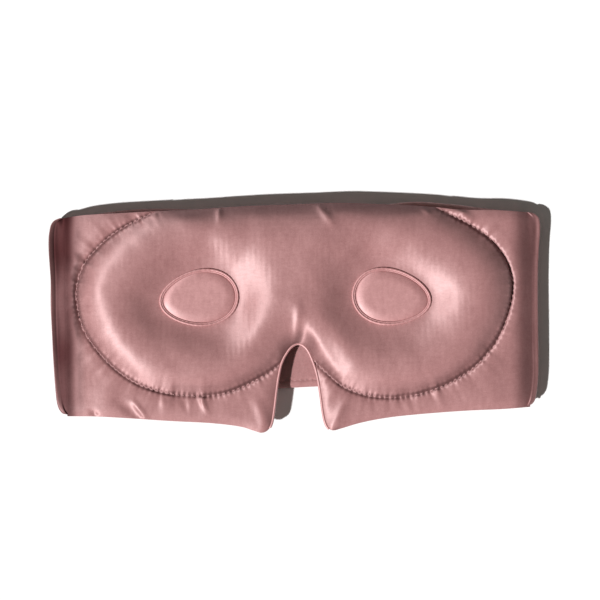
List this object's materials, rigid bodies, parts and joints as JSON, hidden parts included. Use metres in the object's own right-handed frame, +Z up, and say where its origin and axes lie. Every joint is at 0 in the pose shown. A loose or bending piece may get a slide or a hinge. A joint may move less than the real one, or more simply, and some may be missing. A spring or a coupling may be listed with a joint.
{
  "type": "sleep eye mask",
  "caption": "Padded satin sleep eye mask with recessed eye panels, a nose notch and wide straps folded underneath, joined by a hook and loop tab.",
  "frame": {"origin": "middle of the whole mask in X and Y, on the surface it lies on", "axes": "+X to the right along the straps, +Y towards the forehead edge, +Z up out of the padded face side, which is the side worn against the face"},
  "size_m": [0.221, 0.1005, 0.02],
  "materials": {
    "satin": "satin weave, soft sheen",
    "eye_satin": "satin weave, stretched smooth",
    "piping": "satin-covered cord",
    "binding": "turned satin edge",
    "thread": "twisted polyester thread",
    "padding": "matt polyester wadding",
    "blackout": "matt black close-woven cloth",
    "elastic": "knitted elastic",
    "hook_tape": "hook tape",
    "loop_tape": "brushed loop tape"
  },
  "bodies": {
    "front": {"face_satin": "satin", "pad_core": "padding", "blackout_cloth": "blackout", "outer_satin": "satin", "notch_binding": "binding", "left_wing_wadding": "padding", "right_wing_wadding": "padding", "left_quilting_thread": "thread", "right_quilting_thread": "thread", "left_eye_wadding": "padding", "right_eye_wadding": "padding", "left_eye_panel": "eye_satin", "right_eye_panel": "eye_satin", "left_eye_piping": "piping", "right_eye_piping": "piping", "left_fold": "satin", "right_fold": "satin"},
    "left_strap": {"left_strap_face_satin": "satin", "left_strap_elastic": "elastic", "left_strap_outer_satin": "satin", "left_strap_hem_thread": "thread"},
    "right_strap": {"right_strap_face_satin": "satin", "right_strap_elastic": "elastic", "right_strap_outer_satin": "satin", "right_strap_hem_thread": "thread", "loop_patch": "loop_tape", "loop_patch_thread": "thread"},
    "closure_tab": {"closure_tab": "satin", "hook_patch": "hook_tape", "hook_patch_thread": "thread"}
  },
  "joints": [
    {"name": "left_strap_fold", "type": "hinge", "parent": "front", "child": "left_strap", "pos_m": [-0.1045, 0, 0.006], "axis": [0, 1, 0], "range_deg": [0, 175], "deforming": ["left_fold"]},
    {"name": "right_strap_fold", "type": "hinge", "parent": "front", "child": "right_strap", "pos_m": [0.1045, 0, 0.006], "axis": [0, -1, 0], "range_deg": [0, 175], "deforming": ["right_fold"]},
    {"name": "tab_peel", "type": "hinge", "parent": "left_strap", "child": "closure_tab", "pos_m": [0.024, 0.00925, 0], "axis": [0, 1, 0], "range_deg": [0, 120]}
  ],
  "couplings": [
    {"joint": "right_strap_fold", "follows": "left_strap_fold", "ratio": 1}
  ]
}
